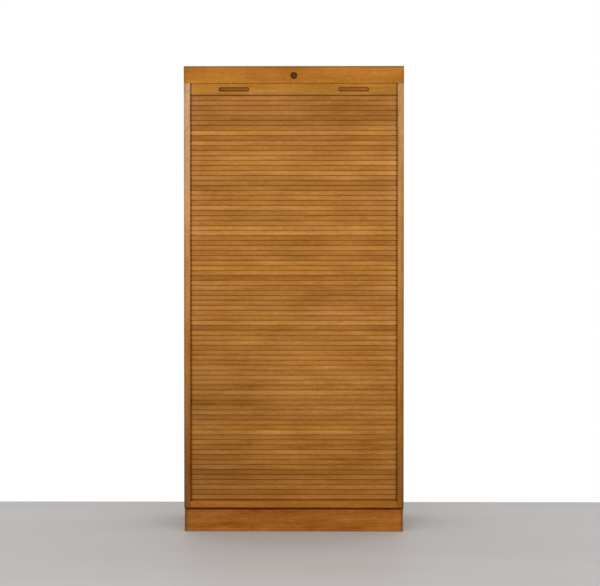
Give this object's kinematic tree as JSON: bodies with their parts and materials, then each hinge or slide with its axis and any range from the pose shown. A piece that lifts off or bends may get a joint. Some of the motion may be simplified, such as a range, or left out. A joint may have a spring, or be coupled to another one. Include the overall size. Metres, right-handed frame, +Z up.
{
  "type": "tambour door cabinet",
  "caption": "Tall oak cabinet for files: a slatted tambour curtain pulls down behind its plinth, under a fascia with a lock, in front of shelves on toothed racks.",
  "frame": {"origin": "on the floor, under the middle of the cabinet", "axes": "+X to the right seen from the front, +Y from the front to the back, +Z up"},
  "size_m": [0.85, 0.4034, 1.8],
  "materials": {
    "oak_front": "golden oak, satin varnish, grain along X",
    "oak_stile": "golden oak, satin varnish, upright grain, darker towards the floor",
    "oak_slat": "golden oak, satin varnish, each slat its own tone",
    "oak_base": "darker golden oak, satin varnish",
    "oak_inside": "pale oak, thin matt varnish",
    "oak_sheet": "oak plywood, matt",
    "bronze": "dark bronzed, worn at the rim",
    "brass": "dull aged brass",
    "steel": "dull steel"
  },
  "bodies": {
    "carcass": {"side_panel_left": "oak_stile", "side_panel_right": "oak_stile", "top_board": "oak_front", "fascia": "oak_front", "bottom_rail": "oak_base", "floor_board": "oak_inside", "plinth_front": "oak_base", "plinth_rear": "oak_base", "dust_panel": "oak_sheet", "back_panel": "oak_sheet", "inner_back": "oak_sheet", "rack_front_left": "oak_inside", "rack_rear_left": "oak_inside", "rack_front_right": "oak_inside", "rack_rear_right": "oak_inside", "cleat_left_1": "oak_inside", "cleat_right_1": "oak_inside", "shelf_1": "oak_inside", "cleat_left_2": "oak_inside", "cleat_right_2": "oak_inside", "shelf_2": "oak_inside", "cleat_left_3": "oak_inside", "cleat_right_3": "oak_inside", "shelf_3": "oak_inside", "cleat_left_4": "oak_inside", "cleat_right_4": "oak_inside", "shelf_4": "oak_inside", "escutcheon": "bronze", "lock_case": "steel", "lock_case_screw_1": "steel", "lock_case_screw_2": "steel", "lock_case_screw_3": "steel", "lock_case_screw_4": "steel"},
    "lead_rail": {"lead_rail": "oak_front", "strike_plate": "brass", "strike_screw_1": "steel", "strike_screw_2": "steel"},
    "lock_bolt": {"lock_plug": "brass", "hook_bolt": "steel"},
    "curtain_band_01": {"curtain_band_01": "oak_slat"},
    "curtain_band_02": {"curtain_band_02": "oak_slat"},
    "curtain_band_03": {"curtain_band_03": "oak_slat"},
    "curtain_band_04": {"curtain_band_04": "oak_slat"},
    "curtain_band_05": {"curtain_band_05": "oak_slat"},
    "curtain_band_06": {"curtain_band_06": "oak_slat"},
    "curtain_band_07": {"curtain_band_07": "oak_slat"},
    "curtain_band_08": {"curtain_band_08": "oak_slat"},
    "curtain_band_09": {"curtain_band_09": "oak_slat"},
    "curtain_band_10": {"curtain_band_10": "oak_slat"},
    "curtain_band_11": {"curtain_band_11": "oak_slat"},
    "curtain_band_12": {"curtain_band_12": "oak_slat"},
    "curtain_band_13": {"curtain_band_13": "oak_slat"},
    "curtain_band_14": {"curtain_band_14": "oak_slat"},
    "curtain_band_15": {"curtain_band_15": "oak_slat"},
    "curtain_band_16": {"curtain_band_16": "oak_slat"},
    "curtain_band_17": {"curtain_band_17": "oak_slat"}
  },
  "joints": [
    {"name": "curtain_slide", "type": "slide", "parent": "carcass", "child": "lead_rail", "axis": [0, 0, -1], "range_m": [0, 1.5707]},
    {"name": "lock_turn", "type": "hinge", "parent": "carcass", "child": "lock_bolt", "pos_m": [0, -0.195, 1.7636], "axis": [0, 1, 0], "range_deg": [0, 90]},
    {"name": "band_01_slide", "type": "slide", "parent": "carcass", "child": "curtain_band_01", "axis": [0, 0.0053, -1], "range_m": [0, 1.57074], "deforming": ["curtain_band_01"]},
    {"name": "band_02_slide", "type": "slide", "parent": "carcass", "child": "curtain_band_02", "axis": [0, 0.0057, -1], "range_m": [0, 1.47415], "deforming": ["curtain_band_02"]},
    {"name": "band_03_slide", "type": "slide", "parent": "carcass", "child": "curtain_band_03", "axis": [0, 0.0062, -1], "range_m": [0, 1.37757], "deforming": ["curtain_band_03"]},
    {"name": "band_04_slide", "type": "slide", "parent": "carcass", "child": "curtain_band_04", "axis": [0, 0.0068, -1], "range_m": [0, 1.28098], "deforming": ["curtain_band_04"]},
    {"name": "band_05_slide", "type": "slide", "parent": "carcass", "child": "curtain_band_05", "axis": [0, 0.0075, -1], "range_m": [0, 1.1844], "deforming": ["curtain_band_05"]},
    {"name": "band_06_slide", "type": "slide", "parent": "carcass", "child": "curtain_band_06", "axis": [0, 0.0083, -1], "range_m": [0, 1.08782], "deforming": ["curtain_band_06"]},
    {"name": "band_07_slide", "type": "slide", "parent": "carcass", "child": "curtain_band_07", "axis": [0, 0.0093, -1], "range_m": [0, 0.99124], "deforming": ["curtain_band_07"]},
    {"name": "band_08_slide", "type": "slide", "parent": "carcass", "child": "curtain_band_08", "axis": [0, 0.0105, -0.9999], "range_m": [0, 0.89466], "deforming": ["curtain_band_08"]},
    {"name": "band_09_slide", "type": "slide", "parent": "carcass", "child": "curtain_band_09", "axis": [0, 0.0119, -0.9999], "range_m": [0, 0.79808], "deforming": ["curtain_band_09"]},
    {"name": "band_10_slide", "type": "slide", "parent": "carcass", "child": "curtain_band_10", "axis": [0, 0.0138, -0.9999], "range_m": [0, 0.7015], "deforming": ["curtain_band_10"]},
    {"name": "band_11_slide", "type": "slide", "parent": "carcass", "child": "curtain_band_11", "axis": [0, 0.0162, -0.9999], "range_m": [0, 0.60492], "deforming": ["curtain_band_11"]},
    {"name": "band_12_slide", "type": "slide", "parent": "carcass", "child": "curtain_band_12", "axis": [0, 0.0196, -0.9998], "range_m": [0, 0.50836], "deforming": ["curtain_band_12"]},
    {"name": "band_13_slide", "type": "slide", "parent": "carcass", "child": "curtain_band_13", "axis": [0, 0.0245, -0.9997], "range_m": [0, 0.4118], "deforming": ["curtain_band_13"]},
    {"name": "band_14_slide", "type": "slide", "parent": "carcass", "child": "curtain_band_14", "axis": [0, 0.0325, -0.9995], "range_m": [0, 0.31525], "deforming": ["curtain_band_14"]},
    {"name": "band_15_slide", "type": "slide", "parent": "carcass", "child": "curtain_band_15", "axis": [0, 0.0475, -0.9989], "range_m": [0, 0.21874], "deforming": ["curtain_band_15"]},
    {"name": "band_16_slide", "type": "slide", "parent": "carcass", "child": "curtain_band_16", "axis": [0, 0.0862, -0.9963], "range_m": [0, 0.12237], "deforming": ["curtain_band_16"]},
    {"name": "band_17_slide", "type": "slide", "parent": "carcass", "child": "curtain_band_17", "axis": [0, 0.3117, -0.9502], "range_m": [0, 0.02663], "deforming": ["curtain_band_17"]}
  ],
  "couplings": [
    {"joint": "band_01_slide", "follows": "curtain_slide", "ratio": 1},
    {"joint": "band_02_slide", "follows": "curtain_slide", "ratio": 0.93853},
    {"joint": "band_03_slide", "follows": "curtain_slide", "ratio": 0.87704},
    {"joint": "band_04_slide", "follows": "curtain_slide", "ratio": 0.81555},
    {"joint": "band_05_slide", "follows": "curtain_slide", "ratio": 0.75406},
    {"joint": "band_06_slide", "follows": "curtain_slide", "ratio": 0.69257},
    {"joint": "band_07_slide", "follows": "curtain_slide", "ratio": 0.63108},
    {"joint": "band_08_slide", "follows": "curtain_slide", "ratio": 0.56959},
    {"joint": "band_09_slide", "follows": "curtain_slide", "ratio": 0.5081},
    {"joint": "band_10_slide", "follows": "curtain_slide", "ratio": 0.44661},
    {"joint": "band_11_slide", "follows": "curtain_slide", "ratio": 0.38513},
    {"joint": "band_12_slide", "follows": "curtain_slide", "ratio": 0.32365},
    {"joint": "band_13_slide", "follows": "curtain_slide", "ratio": 0.26217},
    {"joint": "band_14_slide", "follows": "curtain_slide", "ratio": 0.2007},
    {"joint": "band_15_slide", "follows": "curtain_slide", "ratio": 0.13926},
    {"joint": "band_16_slide", "follows": "curtain_slide", "ratio": 0.077902},
    {"joint": "band_17_slide", "follows": "curtain_slide", "ratio": 0.016952}
  ]
}
